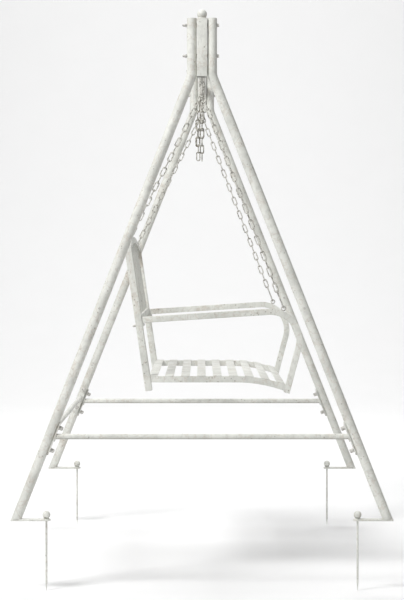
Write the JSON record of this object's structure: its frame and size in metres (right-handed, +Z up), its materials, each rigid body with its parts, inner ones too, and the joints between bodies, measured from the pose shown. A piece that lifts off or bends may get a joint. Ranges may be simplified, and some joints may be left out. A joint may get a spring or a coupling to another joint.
{
  "type": "swing bench",
  "caption": "Slatted steel garden bench hung on chains in a double A-frame that is held by ground pegs.",
  "frame": {"origin": "midway between the A-frames and between front and rear legs, at the height of the ground pegs' tips; the ground surface is 274 mm above it", "axes": "+X the way a sitter faces, +Y along the ridge beam to the sitter's left, +Z up"},
  "size_m": [1.499, 1.8424, 2.2789],
  "materials": {
    "paint": "worn matt antique-white enamel",
    "hardware": "whitewashed zinc",
    "chain": "whitewashed steel chain"
  },
  "bodies": {
    "root": {"leg_upper_front_left": "paint", "leg_upper_front_right": "paint", "leg_upper_rear_left": "paint", "leg_upper_rear_right": "paint", "leg_lower_front_left": "paint", "leg_lower_front_right": "paint", "leg_lower_rear_left": "paint", "leg_lower_rear_right": "paint", "ridge_post_left": "paint", "ridge_post_right": "paint", "ball_finial_left": "paint", "ball_finial_right": "paint", "ridge_beam": "paint", "beam_eyes": "hardware", "cross_rail_left": "paint", "cross_rail_right": "paint", "rear_stretcher": "paint", "foot_plates": "paint", "ground_pegs": "paint", "ridge_bolts": "hardware", "ridge_nuts": "hardware", "ridge_spacers": "hardware", "brace_bolts": "hardware", "leg_screws": "hardware"},
    "hangers": {"hanger_left": "chain", "hanger_right": "chain", "chain_ring_left": "chain", "chain_ring_right": "chain"},
    "bench": {"front_chain_left": "chain", "front_chain_right": "chain", "rear_chain_left": "chain", "rear_chain_right": "chain", "spare_chain_left": "chain", "spare_chain_right": "chain", "snap_hook_left": "chain", "snap_hook_right": "chain", "arm_eyes": "hardware", "back_eyes": "hardware", "back_post_left": "paint", "back_post_right": "paint", "crest_rail": "paint", "back_lower_rail": "paint", "back_bars": "paint", "arm_left": "paint", "arm_right": "paint", "arm_tabs": "paint", "seat_rail_left": "paint", "seat_rail_right": "paint", "seat_slats": "paint", "back_bolts": "hardware", "back_nuts": "hardware"},
    "gate_left": {"snap_gate_left": "chain"},
    "gate_right": {"snap_gate_right": "chain"}
  },
  "joints": [
    {"name": "hanger_swing", "type": "hinge", "parent": "root", "child": "hangers", "pos_m": [0, 0, 2.1095], "axis": [0, 1, 0], "range_deg": [-30, 30]},
    {"name": "bench_swing", "type": "hinge", "parent": "hangers", "child": "bench", "pos_m": [0, 0, 1.974], "axis": [0, 1, 0], "range_deg": [-10, 10]},
    {"name": "gate_left_open", "type": "hinge", "parent": "bench", "child": "gate_left", "pos_m": [0.32478, 0.585, 1.12074], "axis": [0.9343, 0, 0.3565], "range_deg": [0, 18], "stiffness_Nm_per_rad": 0.05, "springref_deg": -11.46},
    {"name": "gate_right_open", "type": "hinge", "parent": "bench", "child": "gate_right", "pos_m": [0.32478, -0.565, 1.12074], "axis": [0.9343, 0, 0.3565], "range_deg": [0, 18], "stiffness_Nm_per_rad": 0.05, "springref_deg": -11.46}
  ]
}
